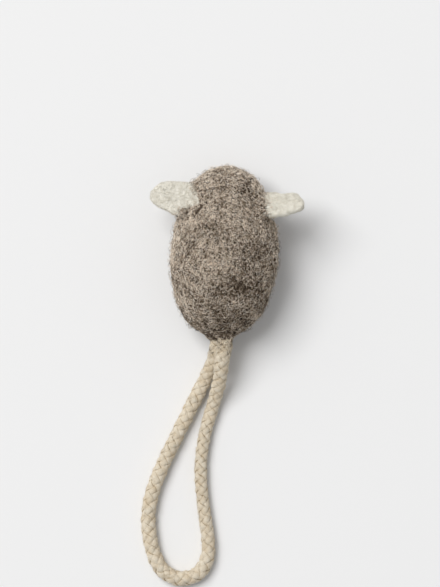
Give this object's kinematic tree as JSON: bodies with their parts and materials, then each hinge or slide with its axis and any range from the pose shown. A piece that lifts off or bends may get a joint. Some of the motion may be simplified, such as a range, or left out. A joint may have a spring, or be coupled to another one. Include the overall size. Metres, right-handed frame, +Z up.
{
  "type": "wool mouse cat toy",
  "caption": "Felted grey wool mouse with two cream felt ears and a looped tail of braided cotton cord, for a cat to chase and carry.",
  "frame": {"origin": "on the ground under the middle of the mouse without its cord, between the nose and the rump's collar and between the ear tips", "axes": "+Z up, -Y towards the nose, +Y towards the tail, +X towards the mouse's left ear"},
  "size_m": [0.0503, 0.1308, 0.0282],
  "materials": {
    "grey_wool": "matte",
    "core_wool": "matte",
    "cream_wool": "matte",
    "cotton_cord": "matte"
  },
  "bodies": {
    "mouse": {"body_felt": "grey_wool", "head_felt": "grey_wool", "wool_core": "core_wool", "tail_knot": "cotton_cord"},
    "ear_left": {"ear_left": "cream_wool"},
    "ear_right": {"ear_right": "cream_wool"},
    "tail_root": {"tail_collar": "grey_wool", "tail_leg_upper": "cotton_cord", "tail_leg_lower": "cotton_cord"},
    "tail": {"tail_loop": "cotton_cord"}
  },
  "joints": [
    {"name": "ear_left_fold", "type": "hinge", "parent": "mouse", "child": "ear_left", "pos_m": [0.00789, -0.01601, 0.01662], "axis": [-0.017, -0.8998, -0.436], "range_deg": [-25, 30], "stiffness_Nm_per_rad": 0.0005},
    {"name": "ear_right_fold", "type": "hinge", "parent": "mouse", "child": "ear_right", "pos_m": [-0.00898, -0.01499, 0.01637], "axis": [0.369, 0.6243, 0.6885], "range_deg": [-25, 30], "stiffness_Nm_per_rad": 0.0005},
    {"name": "tail_swing", "type": "hinge", "parent": "mouse", "child": "tail_root", "pos_m": [0.00189, 0.02337, 0.0098], "axis": [0, 0, 1], "range_deg": [-35, 35]},
    {"name": "tail_lift", "type": "hinge", "parent": "tail_root", "child": "tail", "pos_m": [0.00189, 0.02767, 0.01405], "axis": [1, 0, 0], "range_deg": [0, 60]}
  ]
}
